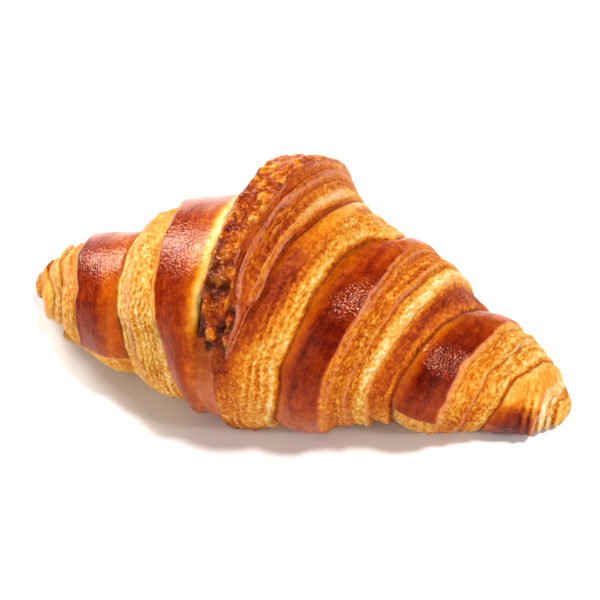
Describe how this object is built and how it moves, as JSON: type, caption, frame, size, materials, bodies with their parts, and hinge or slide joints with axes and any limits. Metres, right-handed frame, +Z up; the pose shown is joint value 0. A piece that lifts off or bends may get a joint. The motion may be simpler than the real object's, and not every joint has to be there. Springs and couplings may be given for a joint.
{
  "type": "croissant",
  "caption": "Straight butter croissant with raised laps, dark glossy bands between pale puffed edges, and a flat sole to rest on.",
  "frame": {"origin": "centre of the loaf's footprint, on the plane of its flat sole", "axes": "+Z up from the sole, +X along the loaf's length, -Y towards the side where the last lap ends"},
  "size_m": [0.166, 0.0834, 0.068],
  "materials": {
    "crust": "egg-washed baked crust, glossy brown on the laps and matt gold on the puffed edges"
  },
  "bodies": {
    "root": {"croissant": "crust"}
  },
  "joints": []
}
